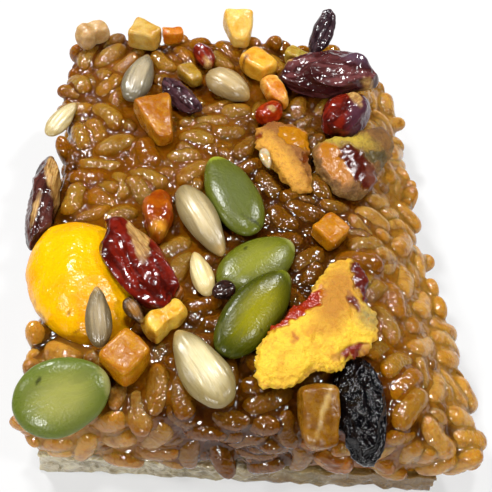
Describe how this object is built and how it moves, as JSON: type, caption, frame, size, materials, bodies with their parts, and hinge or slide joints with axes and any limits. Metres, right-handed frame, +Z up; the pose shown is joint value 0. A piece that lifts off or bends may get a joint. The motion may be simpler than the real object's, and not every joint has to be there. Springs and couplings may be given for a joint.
{
  "type": "sticky rice cake",
  "caption": "Hand-cut block of glossy brown sticky rice on a thin pressed layer, topped with pumpkin and sunflower seeds, chopped nuts, chestnut, prune and torn jujube.",
  "frame": {"origin": "middle of the flat underside of the bottom layer", "axes": "+X to the right along the straight front edge, +Y away from that edge, +Z up out of the topped face"},
  "size_m": [0.0673, 0.0775, 0.0278],
  "materials": {
    "rice": "glossy syrup-coated cooked rice",
    "base": "damp, finely crinkled",
    "chestnut": "waxy, glazed",
    "pumpkin": "smooth seed skin with a soft shine",
    "kernel": "matt, finely streaked",
    "husk": "papery",
    "nut": "thin glaze over chopped nut",
    "candied": "clear glossy syrup",
    "skin": "wrinkled glossy fruit skin",
    "flesh": "dry spongy fruit flesh",
    "prune": "wet black, finely wrinkled"
  },
  "bodies": {
    "root": {"base_layer": "base", "candied_fruit": "candied", "chestnut": "chestnut", "husk_seed": "husk", "jujube_1": "skin", "jujube_10": "skin", "jujube_11": "skin", "jujube_12": "skin", "jujube_13": "candied", "jujube_2": "skin", "jujube_3": "skin", "jujube_4": "flesh", "jujube_5": "flesh", "jujube_6": "skin", "jujube_7": "skin", "jujube_8": "skin", "jujube_9": "flesh", "nut_1": "nut", "nut_10": "nut", "nut_11": "nut", "nut_12": "nut", "nut_13": "nut", "nut_14": "nut", "nut_2": "nut", "nut_3": "nut", "nut_4": "nut", "nut_5": "nut", "nut_6": "nut", "nut_7": "nut", "nut_8": "nut", "nut_9": "nut", "nut_flake": "kernel", "prune": "prune", "pumpkin_seed_1": "pumpkin", "pumpkin_seed_2": "pumpkin", "pumpkin_seed_3": "pumpkin", "pumpkin_seed_4": "pumpkin", "rice_block": "rice", "sunflower_kernel_1": "kernel", "sunflower_kernel_2": "kernel", "sunflower_kernel_3": "kernel", "sunflower_kernel_4": "kernel", "sunflower_kernel_5": "kernel", "sunflower_kernel_6": "kernel", "sunflower_kernel_7": "kernel"}
  },
  "joints": []
}
